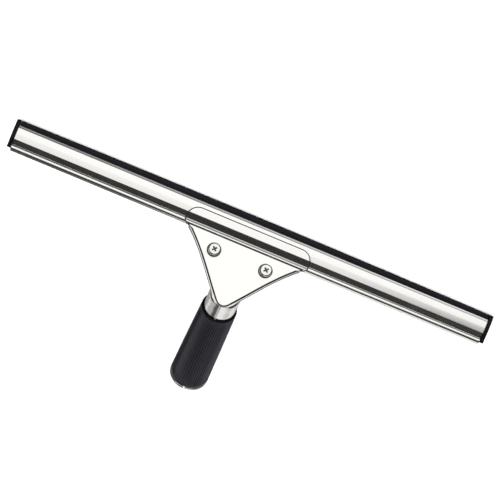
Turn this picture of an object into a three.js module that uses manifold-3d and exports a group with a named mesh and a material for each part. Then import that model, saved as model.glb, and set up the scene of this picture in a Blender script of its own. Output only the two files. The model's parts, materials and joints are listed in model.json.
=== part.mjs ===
// Window cleaning squeegee: rolled steel handle, clamped channel, rubber blade, end caps and grip.
//
// Millimetres, +Z up. It lies as it is put down on a table: the open end of the handle and the
// two end caps touch Z = 0, the channel runs along X, and the blade is at +Y.
//
// Two working frames are nested inside that one:
//   handle frame  Z along the tube's axis from its open end, -Y to the front of the handle
//   blade frame   X along the channel, Y from the spine to the rubber edge, Z to the front

import * as THREE from 'three';
import { mergeVertices } from 'three/addons/utils/BufferGeometryUtils.js';
import Module from 'manifold-3d';

const wasm = await Module();
wasm.setup();

// Driving dimensions
const LENGTH = 400; // over both end caps
const CAP_THICKNESS = 3;
const GAP = 0.3; // between touching pieces
const BEND = THREE.MathUtils.degToRad(50); // between the tube's axis and the channel's plane
const PLATE_SLOPE = Math.tan(THREE.MathUtils.degToRad(9)); // the clamp plate's rise to the tube

const CHANNEL_HEIGHT = 21;
const CHANNEL_WALL = 0.9;
const SPINE_RADIUS = 3;
const SHOULDER = 9.6; // height of the corner between the flat face and the slanted waist
const BLADE_TIP = 26.2;
const BLADE_HALF = 1.3; // half the rubber's thickness

const SHEET = 1.5; // pressed steel of the handle and the clamp plate
const JAW_HALF = 51.8;
const JAW_TOP = 16.4;
const JAW_CORNER = 10;
const JAW_FOOT = -1; // where the clamp plate leaves the channel
const FRONT_LEVEL = SPINE_RADIUS + GAP + SHEET; // the clamp plate's outside at the spine
const BACK_LEVEL = -FRONT_LEVEL; // the handle's outside behind the spine
const CROTCH = -49; // where the plate's line meets the tube's front line

const TUBE_RADIUS = 12.7;
const TUBE_END_RADIUS = 14.4;
const HEM_RADIUS = 16.5;
const HEM_HEIGHT = 2.6;
const HEM_ROUND = 0.4;
const HEM_WALL = 3.2;
const HEM_STEP = 0.05; // height over which the hem steps in to the tube
const GRIP_TOP = 97.5;
const GRIP_END_RADIUS = 16.3;
const GRIP_TOP_RADIUS = 14.4;
const NECK = 17; // from the grip's top to the crotch, along the tube

const SCREW_X = 21.5;
const SCREW_DOWN = 10.4; // below the channel's spine
const SHANK_RADIUS = 2.2;
const SHANK_HOLE = 2.75;
const HEAD_RADIUS = 5;
const HEAD_HEIGHT = 3.2;

const STEEL = { color: 0xd9d8d3, roughness: 0.22, metalness: 1 };
const SCREW_STEEL = { color: 0xc9c8c4, roughness: 0.3, metalness: 1 };
const RUBBER = { color: 0x17171b, roughness: 0.7, metalness: 0 };
const GRIP_RUBBER = { color: 0x2a2a33, roughness: 0.8, metalness: 0 };
const PLASTIC = { color: 0x101013, roughness: 0.5, metalness: 0 };

// Frames. Points in the Y-Z plane are Vector2(y, z).
const alongBlade = new THREE.Vector2(Math.sin(BEND), Math.cos(BEND));
const toFront = new THREE.Vector2(-Math.cos(BEND), Math.sin(BEND));
const crotchPoint = new THREE.Vector2(-TUBE_RADIUS, GRIP_TOP + NECK);
const spinePoint = crotchPoint.clone()
  .addScaledVector(alongBlade, -CROTCH)
  .addScaledVector(toFront, -plateLevel(CROTCH));

function plateLevel(v) {
  return FRONT_LEVEL + (JAW_FOOT - v) * PLATE_SLOPE;
}

// A point of the blade frame's Y-Z plane, in the handle frame.
function onHandle(v, w) {
  return spinePoint.clone().addScaledVector(alongBlade, v).addScaledVector(toFront, w);
}

// A point of the handle frame's Y-Z plane, in the blade frame.
function onBlade(point) {
  const offset = point.clone().sub(spinePoint);
  return new THREE.Vector2(offset.dot(alongBlade), offset.dot(toFront));
}

// Solids
function toSolid(geometry) {
  const bare = geometry.clone();
  for (const name of ['normal', 'uv']) bare.deleteAttribute(name);
  const merged = mergeVertices(bare, 1e-4);
  return new wasm.Manifold(new wasm.Mesh({
    numProp: 3,
    vertProperties: new Float32Array(merged.attributes.position.array),
    triVerts: new Uint32Array(merged.index.array),
  }));
}

function toGeometry(solid) {
  const mesh = solid.getMesh();
  const geometry = new THREE.BufferGeometry();
  geometry.setAttribute('position', new THREE.BufferAttribute(mesh.vertProperties, 3));
  geometry.setIndex(new THREE.BufferAttribute(mesh.triVerts, 1));
  geometry.computeVertexNormals();
  return geometry;
}

function piece(name, geometry, look) {
  const mesh = new THREE.Mesh(geometry, new THREE.MeshStandardMaterial(look));
  mesh.name = name;
  return mesh;
}

// A section drawn in the blade frame's Y-Z plane, extruded along X between two places.
function alongX(shape, start, end) {
  const geometry = new THREE.ExtrudeGeometry(shape, {
    depth: end - start,
    bevelEnabled: false,
    curveSegments: 6,
  });
  const toAxes = new THREE.Matrix4().makeBasis(
    new THREE.Vector3(0, 1, 0),
    new THREE.Vector3(0, 0, 1),
    new THREE.Vector3(1, 0, 0),
  );
  return geometry.applyMatrix4(toAxes).translate(start, 0, 0);
}

// An outline drawn in the blade frame's X-Y plane, extruded towards the front.
function alongZ(shape, start, end) {
  const settings = { depth: end - start, bevelEnabled: false, curveSegments: 6 };
  return new THREE.ExtrudeGeometry(shape, settings).translate(0, 0, start);
}

// A round piece turned about the blade frame's Z axis.
function turned(points, segments = 32) {
  const outline = points.map(([radius, height]) => new THREE.Vector2(radius, height));
  outline.push(outline[0].clone());
  return new THREE.LatheGeometry(outline, segments).rotateX(Math.PI / 2);
}

// Channel: half its outside, as a height above the spine and a distance from the middle plane.
const CHANNEL_SIDE = [[CHANNEL_HEIGHT, 2.5], [18.8, 3.5], [SHOULDER, 3.9]];
const WAIST_ANGLE = 0.7; // where the waist meets the round spine, as an angle on the spine

function spineArc(radius, steps) {
  const points = [];
  for (let i = 0; i <= steps; i++) {
    const angle = WAIST_ANGLE + (Math.PI - WAIST_ANGLE) * (i / steps);
    points.push([SPINE_RADIUS + radius * Math.cos(angle), radius * Math.sin(angle)]);
  }
  return points;
}

function channelSection() {
  const outside = [...CHANNEL_SIDE, ...spineArc(SPINE_RADIUS, 10)];
  const inside = [
    ...CHANNEL_SIDE.map(([v, w]) => [v, w - CHANNEL_WALL]),
    ...spineArc(SPINE_RADIUS - CHANNEL_WALL, 10),
  ];
  const mirrored = (points) => points.slice(0, -1).reverse().map(([v, w]) => [v, -w]);
  const loop = [
    ...outside,
    ...mirrored(outside),
    ...[...inside, ...mirrored(inside)].reverse(),
  ];
  return new THREE.Shape(loop.map(([v, w]) => new THREE.Vector2(v, w)));
}

function channel() {
  const end = LENGTH / 2 - CAP_THICKNESS - GAP;
  return piece('channel', alongX(channelSection(), -end, end), STEEL);
}

// Rubber blade: a bead inside the channel, a web between its lips and a square-cut edge.
const BEAD_BOTTOM = 10.4;
const BEAD_TOP = 14.4;
const BEAD_HALF = 2.5;
const CLIP_LENGTH = 8;

function wiperRubber() {
  const end = LENGTH / 2 - CAP_THICKNESS - 2 * GAP;
  const half = [
    [BEAD_BOTTOM, BEAD_HALF], [BEAD_TOP, BEAD_HALF], [BEAD_TOP + 1, BLADE_HALF],
    [CHANNEL_HEIGHT + 1, BLADE_HALF], [BLADE_TIP, BLADE_HALF - 0.2],
  ];
  const loop = [...half, ...half.slice().reverse().map(([v, w]) => [v, -w])];
  const shape = new THREE.Shape(loop.map(([v, w]) => new THREE.Vector2(v, w)));
  let solid = toSolid(alongX(shape, -end, end));
  const notchTop = CHANNEL_HEIGHT - 3;
  for (const side of [-1, 1]) {
    for (const face of [-1, 1]) {
      const notch = new THREE.BoxGeometry(2 * (CLIP_LENGTH + GAP), notchTop, 4)
        .translate(side * end, notchTop / 2, face * (BLADE_HALF + 2));
      solid = solid.subtract(toSolid(notch));
    }
    const foot = new THREE.BoxGeometry(2 * (CLIP_LENGTH + GAP), BEAD_BOTTOM + 1.6, 8)
      .translate(side * end, (BEAD_BOTTOM + 1.6) / 2, 0);
    solid = solid.subtract(toSolid(foot));
  }
  return piece('wiper_rubber', toGeometry(solid), RUBBER);
}

// Sprung clip that holds the rubber at one end of the channel: a fork astride its web.
function rubberClip(name, side) {
  const legHalf = 2.3;
  const legTop = CHANNEL_HEIGHT - 3.5;
  const baseTop = BEAD_BOTTOM + 1.2;
  const innerHalf = BLADE_HALF + GAP;
  const shape = new THREE.Shape([
    new THREE.Vector2(BEAD_BOTTOM, -legHalf),
    new THREE.Vector2(BEAD_BOTTOM, legHalf),
    new THREE.Vector2(legTop, legHalf),
    new THREE.Vector2(legTop, innerHalf),
    new THREE.Vector2(baseTop, innerHalf),
    new THREE.Vector2(baseTop, -innerHalf),
    new THREE.Vector2(legTop, -innerHalf),
    new THREE.Vector2(legTop, -legHalf),
  ]);
  const outer = LENGTH / 2 - CAP_THICKNESS - 2 * GAP;
  const ends = [side * outer, side * (outer - CLIP_LENGTH)];
  return piece(name, alongX(shape, Math.min(...ends), Math.max(...ends)), SCREW_STEEL);
}

// End cap: a flange over the end of the channel, with a tongue inside its hollow spine.
const CAP_LOW = 2;
const CAP_HIGH = 25;
const CAP_CORNER_HALF = 2.9;

function endCap(name, side) {
  const half = [
    [CAP_LOW, 3.6], [CAP_LOW + 1, 4.2], [5.2, 4.2], [SHOULDER, 5.2],
    [18.8, 4.9], [CAP_HIGH - 0.8, CAP_CORNER_HALF + 0.6], [CAP_HIGH, CAP_CORNER_HALF],
  ];
  const loop = [...half, ...half.slice().reverse().map(([v, w]) => [v, -w])];
  const flange = new THREE.Shape(loop.map(([v, w]) => new THREE.Vector2(v, w)));
  const outer = LENGTH / 2;
  const inner = outer - CAP_THICKNESS;
  const tongueLength = 12;
  const tongue = new THREE.BoxGeometry(tongueLength + 1, 7.6, 2.2)
    .translate(inner - tongueLength / 2 + 0.5, 5.5, 0);
  let solid = toSolid(alongX(flange, inner, outer)).add(toSolid(tongue));
  if (side < 0) solid = solid.mirror([1, 0, 0]);
  return piece(name, toGeometry(solid), PLASTIC);
}

// Jaws: the inside of a jaw follows the channel, then runs straight on below its spine.
function jawInside(v) {
  if (v <= SPINE_RADIUS) return SPINE_RADIUS + GAP;
  const [[topV, topW], [lipV, lipW], [shoulderV, shoulderW]] = CHANNEL_SIDE;
  const waistV = SPINE_RADIUS + SPINE_RADIUS * Math.cos(WAIST_ANGLE);
  const waistW = SPINE_RADIUS * Math.sin(WAIST_ANGLE);
  if (v < waistV) return GAP + Math.sqrt(SPINE_RADIUS ** 2 - (v - SPINE_RADIUS) ** 2);
  const between = (a, wa, b, wb) => GAP + wa + ((wb - wa) * (v - a)) / (b - a);
  if (v < shoulderV) return between(waistV, waistW, shoulderV, shoulderW);
  if (v < lipV) return between(shoulderV, shoulderW, lipV, lipW);
  return between(lipV, lipW, topV, topW);
}

const JAW_STATIONS = [JAW_TOP, 13, SHOULDER + 0.4, SHOULDER - 0.4, 7.4, 5.3, 4.6, 3.9, 3, 1];

// Half the clamp plate's width below the channel: a wide fan that closes to a round tip.
const PLATE_TIP = -48.4;
const TIP_RADIUS = 7.5;
const PLATE_ROOT = 44.6;
const plateEdge = new THREE.CubicBezierCurve(
  new THREE.Vector2(PLATE_ROOT, JAW_FOOT),
  new THREE.Vector2(29, -15),
  new THREE.Vector2(19.5, -29),
  new THREE.Vector2(TIP_RADIUS * 0.86, PLATE_TIP + TIP_RADIUS * 0.55),
);

// Half outline of the plate's fan, from its root to its round tip, grown by a margin.
function fanPoints(margin) {
  const points = plateEdge.getPoints(10).map((p) => new THREE.Vector2(p.x + margin, p.y));
  const last = points[points.length - 1];
  const tip = PLATE_TIP - margin;
  const round = new THREE.QuadraticBezierCurve(
    last,
    new THREE.Vector2(last.x * 0.55, tip),
    new THREE.Vector2(0, tip),
  );
  return [...points, ...round.getPoints(5).slice(1)];
}

// Right side of a jaw, from its foot round its top corner.
function jawSide(footX, footV) {
  const cornerX = JAW_HALF - JAW_CORNER;
  const cornerV = JAW_TOP - JAW_CORNER;
  const side = new THREE.Path();
  side.moveTo(footX, footV);
  side.quadraticCurveTo(JAW_HALF - 0.6, footV + 0.8, JAW_HALF, 3.4);
  side.lineTo(JAW_HALF, cornerV);
  side.absarc(cornerX, cornerV, JAW_CORNER, 0, Math.PI / 2, false);
  return side.getPoints(6);
}

// A closed outline, symmetric about X = 0, from half its points.
function symmetric(half) {
  const mirrored = half.slice().reverse().map((p) => new THREE.Vector2(-p.x, p.y));
  const points = [...half, ...mirrored];
  const distinct = points.filter((p, i) => p.distanceTo(points.at(i - 1)) > 0.01);
  return new THREE.Shape(distinct);
}

const PLATE_FOOT_HALF = 49; // half width of the clamp jaw where it runs into the plate
const PLATE_FOOT = 0.2;

function plateOutline() {
  const fan = fanPoints(0).reverse();
  return symmetric([...fan, ...jawSide(PLATE_FOOT_HALF, PLATE_FOOT)]);
}

// Front line of the handle, from the plate over the crotch to the tube, as points (v, w).
const BEND_REACH = 9; // how far down the tube the bend at the crotch reaches
const PLATE_REACH = 1; // how far up the plate it reaches
const frontBend = new THREE.QuadraticBezierCurve(
  new THREE.Vector2(CROTCH + PLATE_REACH, plateLevel(CROTCH + PLATE_REACH)),
  new THREE.Vector2(CROTCH, plateLevel(CROTCH)),
  onBlade(new THREE.Vector2(-TUBE_RADIUS, crotchPoint.y - BEND_REACH)),
);

function clampPlate() {
  const jaw = JAW_STATIONS.map((v) => [v, jawInside(v)]);
  const slope = frontBend.getPoints(6).map((p) => [p.x, p.y - SHEET]);
  const inside = [...jaw, [JAW_FOOT, FRONT_LEVEL - SHEET], ...slope];
  const outside = inside.map(([v, w]) => [v, w + SHEET]).reverse();
  const side = new THREE.Shape([...inside, ...outside].map(([v, w]) => new THREE.Vector2(v, w)));
  let solid = toSolid(alongX(side, -60, 60));
  solid = solid.intersect(toSolid(alongZ(plateOutline(), -10, 40)));
  for (const x of [-SCREW_X, SCREW_X]) {
    const hole = new THREE.CylinderGeometry(SHANK_HOLE, SHANK_HOLE, 12, 24).rotateX(Math.PI / 2);
    solid = solid.subtract(toSolid(hole.applyMatrix4(screwPlace(x, 0))));
  }
  return piece('clamp_plate', toGeometry(solid), STEEL);
}

// Place of a screw: Z along its axis, its origin on the outside of the clamp plate.
function screwPlace(x, rise) {
  const tilt = Math.atan(PLATE_SLOPE);
  const place = new THREE.Matrix4().makeRotationX(-tilt);
  place.setPosition(x, -SCREW_DOWN, plateLevel(-SCREW_DOWN));
  return place.multiply(new THREE.Matrix4().makeTranslation(0, 0, rise));
}

const PLAIN_WASHER = 1;
const LOCK_WASHER = 1.2;
const HEAD_RISE = PLAIN_WASHER + LOCK_WASHER + 3 * GAP;
const SHANK_END = -16.5;

function plainWasher(name, x) {
  const section = [[2.75, 0], [5.7, 0], [5.7, PLAIN_WASHER], [2.75, PLAIN_WASHER]];
  return piece(name, turned(section).applyMatrix4(screwPlace(x, GAP)), SCREW_STEEL);
}

// Split spring washer: a flat ring with one slot.
function lockWasher(name, x) {
  const ring = turned([[2.75, 0], [4.6, 0], [4.6, LOCK_WASHER], [2.75, LOCK_WASHER]]);
  const slot = new THREE.BoxGeometry(4, 0.8, 4).rotateX(0.5).translate(4, 0, 0.6);
  const solid = toSolid(ring).subtract(toSolid(slot));
  const place = screwPlace(x, PLAIN_WASHER + 2 * GAP);
  return piece(name, toGeometry(solid).applyMatrix4(place), SCREW_STEEL);
}

// Pan head screw with a cross recess.
function screw(name, x) {
  const body = new THREE.LatheGeometry([
    new THREE.Vector2(0, SHANK_END),
    new THREE.Vector2(SHANK_RADIUS - 0.6, SHANK_END),
    new THREE.Vector2(SHANK_RADIUS, SHANK_END + 0.8),
    new THREE.Vector2(SHANK_RADIUS, HEAD_RISE),
    new THREE.Vector2(HEAD_RADIUS, HEAD_RISE),
    new THREE.Vector2(HEAD_RADIUS, HEAD_RISE + HEAD_HEIGHT - 1),
    new THREE.Vector2(HEAD_RADIUS - 0.35, HEAD_RISE + HEAD_HEIGHT - 0.35),
    new THREE.Vector2(HEAD_RADIUS - 1, HEAD_RISE + HEAD_HEIGHT),
    new THREE.Vector2(0, HEAD_RISE + HEAD_HEIGHT),
  ], 32).rotateX(Math.PI / 2);
  let solid = toSolid(body);
  for (const angle of [Math.PI / 4, -Math.PI / 4]) {
    const slot = new THREE.BoxGeometry(4.6, 0.9, 3)
      .rotateZ(angle)
      .translate(0, 0, HEAD_RISE + HEAD_HEIGHT);
    solid = solid.subtract(toSolid(slot));
  }
  return piece(name, toGeometry(solid).applyMatrix4(screwPlace(x, 0)), SCREW_STEEL);
}

// Clinch nut: a body inside the handle and a collar through its back.
const NUT_COLLAR = 3.3;
const NUT_RADIUS = 4.4;

function backAlongScrew() {
  const tilt = Math.atan(PLATE_SLOPE);
  return (BACK_LEVEL - plateLevel(-SCREW_DOWN)) / Math.cos(tilt);
}

function clinchNut(name, x) {
  const back = backAlongScrew();
  const seat = back + SHEET + 2 * GAP + 0.6;
  const section = [
    [SHANK_RADIUS + GAP, back + 0.7], [NUT_COLLAR, back + 0.7], [NUT_COLLAR, seat],
    [NUT_RADIUS, seat], [NUT_RADIUS, seat + 3], [SHANK_RADIUS + GAP, seat + 3],
  ];
  return piece(name, turned(section).applyMatrix4(screwPlace(x, 0)), SCREW_STEEL);
}

// Handle: one pressed sheet, rolled into a tube with its seam in front, opened to a tray.
const ARC_STEPS = 6;

// One sheet section, as points (x, depth) from one free edge round the back to the other.
function sheetPath(half, depth, opening, frontRadius, backRadius, inset) {
  const right = [[opening, depth - inset]];
  const w = half - inset;
  const arcs = [
    [Math.max(frontRadius - inset, 0.1), depth - inset, Math.PI / 2, -1],
    [Math.max(backRadius - inset, 0.1), inset, 0, 1],
  ];
  for (const [radius, level, start, inward] of arcs) {
    for (let i = 0; i <= ARC_STEPS; i++) {
      const angle = start - (i / ARC_STEPS) * (Math.PI / 2);
      right.push([
        w - radius + radius * Math.cos(angle),
        level + inward * radius + radius * Math.sin(angle),
      ]);
    }
  }
  const left = right.slice().reverse().map(([x, y]) => [-x, y]);
  return [...right, [0, inset], ...left];
}

// A closed ring of one section, in the handle frame, between a front and a back point.
function sheetRing({ front, back, half, opening, backRadius, sheet }) {
  const depth = front.distanceTo(back);
  const forward = front.clone().sub(back).normalize();
  const frontRadius = Math.min(half - opening - 0.1, depth / 2);
  const outer = sheetPath(half, depth, opening, frontRadius, backRadius, 0);
  const inner = sheetPath(half, depth, opening, frontRadius, backRadius, sheet);
  return [...outer, ...inner.reverse()].map(([x, d]) => {
    const point = back.clone().addScaledVector(forward, d);
    return new THREE.Vector3(x, point.x, point.y);
  });
}

// Skins a row of rings of equal length and closes both ends.
function loft(rings) {
  const count = rings[0].length;
  const half = count / 2;
  const positions = rings.flat().flatMap((p) => [p.x, p.y, p.z]);
  const index = [];
  for (let r = 0; r + 1 < rings.length; r++) {
    for (let i = 0; i < count; i++) {
      const a = r * count + i;
      const b = r * count + ((i + 1) % count);
      index.push(a, b, b + count, a, b + count, a + count);
    }
  }
  const last = (rings.length - 1) * count;
  for (let i = 0; i + 1 < half; i++) {
    const j = count - 1 - i;
    index.push(i, j, i + 1, i + 1, j, j - 1);
    index.push(last + i, last + i + 1, last + j, last + i + 1, last + j - 1, last + j);
  }
  const geometry = new THREE.BufferGeometry();
  geometry.setAttribute('position', new THREE.Float32BufferAttribute(positions, 3));
  geometry.setIndex(index);
  return geometry;
}

function tubeStation(z, radius, sheet) {
  return {
    front: new THREE.Vector2(-radius, z),
    back: new THREE.Vector2(radius, z),
    half: radius,
    opening: SEAM_HALF,
    backRadius: radius,
    sheet,
  };
}

// Half the opening between the free edges at a height on the front line.
function openingAt(v) {
  if (v <= PLATE_TIP) return SEAM_HALF;
  const points = plateEdge.getPoints(60);
  const tip = points[points.length - 1];
  if (v <= tip.y) {
    const rise = (v - PLATE_TIP) / (tip.y - PLATE_TIP);
    return EDGE_GAP + tip.x * Math.sqrt(rise);
  }
  const next = points.findIndex((point) => point.y <= v);
  const [high, low] = [points[Math.max(next - 1, 0)], points[Math.max(next, 1)]];
  return EDGE_GAP + low.x + ((high.x - low.x) * (v - low.y)) / (high.y - low.y);
}

const SEAM_HALF = 0.25;
const EDGE_GAP = 0.55; // beside the clamp plate, allowing for the straight steps of its edge
const FLANGE = 2; // width of the rolled edge beside the clamp plate
const FLANGE_DROP = 0.2; // how far the rolled edge lies below the plate's face
const TUBE_WALL = 1.4;
const BEND_CORNER = 4.5; // rear corner radius above the crotch
const FOOT_CORNER = 2.5; // rear corner radius at the jaws
const BACK_STRAIGHT = -25; // where the flat of the back begins, below the spine
const backBend = new THREE.QuadraticBezierCurve(
  new THREE.Vector2(TUBE_RADIUS, crotchPoint.y - BEND_REACH),
  backCorner(),
  onHandle(BACK_STRAIGHT, BACK_LEVEL),
);

// Where the tube's back line meets the line of the handle's flat back.
function backCorner() {
  const start = onHandle(0, BACK_LEVEL);
  const v = (TUBE_RADIUS - start.x) / alongBlade.x;
  return onHandle(v, BACK_LEVEL);
}

function bendStations() {
  const stations = [];
  const steps = 8;
  for (let i = 1; i <= steps; i++) {
    const along = frontBend.getPoint(1 - i / steps);
    stations.push({ v: along.x, w: along.y, back: backBend.getPoint(i / steps), share: i / steps });
  }
  return stations;
}

function trayStation(v, w, back, backRadius) {
  const opening = openingAt(v);
  return {
    front: onHandle(v, w - FLANGE_DROP),
    back,
    half: Math.max(opening + FLANGE, TUBE_RADIUS),
    opening,
    backRadius,
    sheet: SHEET,
  };
}

function handleStations() {
  const low = HEM_RADIUS - HEM_ROUND;
  const stations = [
    tubeStation(0, low, HEM_WALL - HEM_ROUND),
    tubeStation(HEM_ROUND, HEM_RADIUS, HEM_WALL),
    tubeStation(HEM_HEIGHT - HEM_ROUND, HEM_RADIUS, HEM_WALL),
    tubeStation(HEM_HEIGHT, low, HEM_WALL - HEM_ROUND),
    tubeStation(HEM_HEIGHT + HEM_STEP, TUBE_END_RADIUS, TUBE_WALL),
    tubeStation(GRIP_TOP, TUBE_RADIUS, TUBE_WALL),
    tubeStation(crotchPoint.y - BEND_REACH, TUBE_RADIUS, TUBE_WALL),
  ];
  for (const { v, w, back, share } of bendStations()) {
    const radius = TUBE_RADIUS + (BEND_CORNER - TUBE_RADIUS) * share;
    stations.push(trayStation(v, w, back, radius));
  }
  const steps = 8;
  const frontStart = CROTCH + PLATE_REACH;
  for (let i = 1; i <= steps; i++) {
    const share = i / steps;
    const v = frontStart + (JAW_FOOT - frontStart) * share ** 0.8;
    const backV = BACK_STRAIGHT + (JAW_FOOT - BACK_STRAIGHT) * share;
    const radius = BEND_CORNER + (FOOT_CORNER - BEND_CORNER) * share;
    stations.push(trayStation(v, plateLevel(v), onHandle(backV, BACK_LEVEL), radius));
  }
  return stations;
}

const REAR_JAW_ROOT = -6; // lowest line of the rear jaw, inside the handle's flat back
const REAR_ROOT_HALF = 38;
const REAR_FOOT_HALF = 46;

// Rear jaw: the end of the handle's back, pressed to the shape of the channel.
function rearJaw() {
  const stations = JAW_STATIONS.map((v) => [v, jawInside(v)]);
  stations.push([REAR_JAW_ROOT, SPINE_RADIUS + GAP]);
  const inside = stations.map(([v, w]) => [v, -w]);
  const outside = inside.map(([v, w]) => [v, w - SHEET]).reverse();
  const side = new THREE.Shape([...inside, ...outside].map(([v, w]) => new THREE.Vector2(v, w)));
  const root = new THREE.Vector2(REAR_ROOT_HALF, REAR_JAW_ROOT);
  const outline = symmetric([root, ...jawSide(REAR_FOOT_HALF, JAW_FOOT)]);
  const solid = toSolid(alongX(side, -60, 60));
  return solid.intersect(toSolid(alongZ(outline, -12, 4)));
}

const bladeToHandle = new THREE.Matrix4().makeRotationX(Math.PI / 2 - BEND)
  .setPosition(0, spinePoint.x, spinePoint.y);

function handleBody() {
  let solid = toSolid(loft(handleStations().map(sheetRing)));
  solid = solid.add(toSolid(toGeometry(rearJaw()).applyMatrix4(bladeToHandle)));
  const clearance = symmetric(fanPoints(GAP));
  solid = solid.subtract(toSolid(alongZ(clearance, 3, 40).applyMatrix4(bladeToHandle)));
  const radius = NUT_COLLAR + GAP;
  for (const x of [-SCREW_X, SCREW_X]) {
    const hole = new THREE.CylinderGeometry(radius, radius, 8, 24)
      .rotateX(Math.PI / 2)
      .applyMatrix4(screwPlace(x, backAlongScrew()))
      .applyMatrix4(bladeToHandle);
    solid = solid.subtract(toSolid(hole));
  }
  return piece('handle_body', toGeometry(solid), STEEL);
}

// Grip: a rubber sleeve pushed over the tube and stopped by the hem at its end.
function grip() {
  const bottom = HEM_HEIGHT + GAP;
  const bore = TUBE_END_RADIUS + GAP;
  const sleeve = new THREE.LatheGeometry([
    [bore, bottom], [GRIP_END_RADIUS - 0.8, bottom], [GRIP_END_RADIUS, bottom + 1.6],
    [GRIP_TOP_RADIUS, GRIP_TOP - 1], [GRIP_TOP_RADIUS - 0.4, GRIP_TOP],
    [TUBE_RADIUS + GAP, GRIP_TOP], [bore, bottom],
  ].map(([radius, z]) => new THREE.Vector2(radius, z)), 48);
  return piece('grip_sleeve', sleeve.rotateX(Math.PI / 2), GRIP_RUBBER);
}

// Assembly
const blade = new THREE.Group();
blade.add(
  channel(),
  wiperRubber(),
  rubberClip('rubber_clip_left', -1),
  rubberClip('rubber_clip_right', 1),
  endCap('end_cap_left', -1),
  endCap('end_cap_right', 1),
  clampPlate(),
);
for (const [side, x] of [['left', -SCREW_X], ['right', SCREW_X]]) {
  blade.add(
    screw(`clamp_screw_${side}`, x),
    lockWasher(`lock_washer_${side}`, x),
    plainWasher(`plain_washer_${side}`, x),
    clinchNut(`clinch_nut_${side}`, x),
  );
}
blade.rotation.x = Math.PI / 2 - BEND;
blade.position.set(0, spinePoint.x, spinePoint.y);

const handle = new THREE.Group();
handle.add(handleBody(), grip(), blade);

// Resting: the rear of the hem and the rear corners of the end caps lie on one plane.
const capCorner = onHandle(CAP_HIGH, -CAP_CORNER_HALF);
const restTilt = Math.atan2(capCorner.x - HEM_RADIUS, capCorner.y);
handle.rotation.x = restTilt - Math.PI / 2;

const squeegee = new THREE.Group();
squeegee.add(handle);
const extent = new THREE.Box3().setFromObject(squeegee, true);
handle.position.set(0, -(extent.min.y + extent.max.y) / 2, -extent.min.z);

export default squeegee;
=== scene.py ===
"""Looks of a window cleaning squeegee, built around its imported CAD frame."""

import json
import math

import bmesh
import bpy
from mathutils import Matrix, Vector


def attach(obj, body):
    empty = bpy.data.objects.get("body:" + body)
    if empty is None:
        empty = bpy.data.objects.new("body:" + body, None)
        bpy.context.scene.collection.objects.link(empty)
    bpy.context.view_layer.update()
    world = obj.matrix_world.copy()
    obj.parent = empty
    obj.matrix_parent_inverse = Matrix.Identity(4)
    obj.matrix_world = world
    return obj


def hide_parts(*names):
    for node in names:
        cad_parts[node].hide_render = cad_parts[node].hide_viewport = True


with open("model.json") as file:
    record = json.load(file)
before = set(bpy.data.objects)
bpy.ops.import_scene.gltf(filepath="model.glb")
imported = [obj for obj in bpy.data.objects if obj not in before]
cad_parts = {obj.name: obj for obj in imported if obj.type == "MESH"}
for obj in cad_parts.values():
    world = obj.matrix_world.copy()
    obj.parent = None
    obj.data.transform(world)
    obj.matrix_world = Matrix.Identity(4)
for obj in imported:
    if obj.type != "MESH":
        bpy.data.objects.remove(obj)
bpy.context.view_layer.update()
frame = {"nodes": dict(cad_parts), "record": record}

MM = 0.001

# Driving dimensions of the part, in millimetres
BEND = math.radians(50)
PLATE_SLOPE = math.tan(math.radians(9))
LENGTH = 400
CAP_THICKNESS = 3
GAP = 0.3
CHANNEL_HEIGHT = 21
CHANNEL_WALL = 0.9
CHANNEL_SIDE = [(CHANNEL_HEIGHT, 2.5), (18.8, 3.5), (9.6, 3.9)]
SPINE_RADIUS = 3
WAIST_ANGLE = 0.7
BLADE_TIP = 26.2
BLADE_HALF = 1.3
SHEET = 1.5
JAW_HALF = 51.8
JAW_TOP = 16.4
JAW_CORNER = 10
JAW_FOOT = -1
FRONT_LEVEL = SPINE_RADIUS + GAP + SHEET
CROTCH = -49
BEND_REACH = 9
PLATE_REACH = 1
BACK_STRAIGHT = -25
TUBE_RADIUS = 12.7
TUBE_END_RADIUS = 14.4
HEM_RADIUS = 16.5
HEM_HEIGHT = 2.6
GRIP_TOP = 97.5
GRIP_END_RADIUS = 16.3
GRIP_TOP_RADIUS = 14.4
NECK = 17
MOUNT_RADIUS = 14.7
SCREW_X = 21.5
SCREW_DOWN = 10.4


def plate_level(v):
    return FRONT_LEVEL + (JAW_FOOT - v) * PLATE_SLOPE


# The handle frame comes from the mount on the end of the tube: Z runs up the tube from it.
def handle_frame():
    mount = frame["record"]["mounts"][0]
    up = -Vector(mount["axis"]).normalized()
    across = Vector((1, 0, 0))
    front = across.cross(up)
    origin = Vector(mount["pos_m"]) - across * MOUNT_RADIUS * MM
    place = Matrix((across, -front, up)).transposed().to_4x4()
    place.translation = origin
    return place


HANDLE = handle_frame()
ALONG = Vector((math.sin(BEND), math.cos(BEND)))
FRONTWARD = Vector((-math.cos(BEND), math.sin(BEND)))
CROTCH_POINT = Vector((-TUBE_RADIUS, GRIP_TOP + NECK))
SPINE_POINT = CROTCH_POINT - ALONG * CROTCH - FRONTWARD * plate_level(CROTCH)


def on_handle(v, w):
    """A point of the blade frame's Y-Z plane, in the handle frame's Y-Z plane."""
    return SPINE_POINT + ALONG * v + FRONTWARD * w


def on_blade(point):
    offset = point - SPINE_POINT
    return Vector((offset.dot(ALONG), offset.dot(FRONTWARD)))


BLADE_IN_HANDLE = (
    Matrix.Translation((0, SPINE_POINT.x * MM, SPINE_POINT.y * MM))
    @ Matrix.Rotation(math.pi / 2 - BEND, 4, "X")
)
BLADE = HANDLE @ BLADE_IN_HANDLE
TO_RIGHT = (BLADE.to_3x3() @ Vector((1, 0, 0))).normalized()
TO_EDGE = (BLADE.to_3x3() @ Vector((0, 1, 0))).normalized()
TO_VIEWER = (BLADE.to_3x3() @ Vector((0, 0, 1))).normalized()


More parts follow.
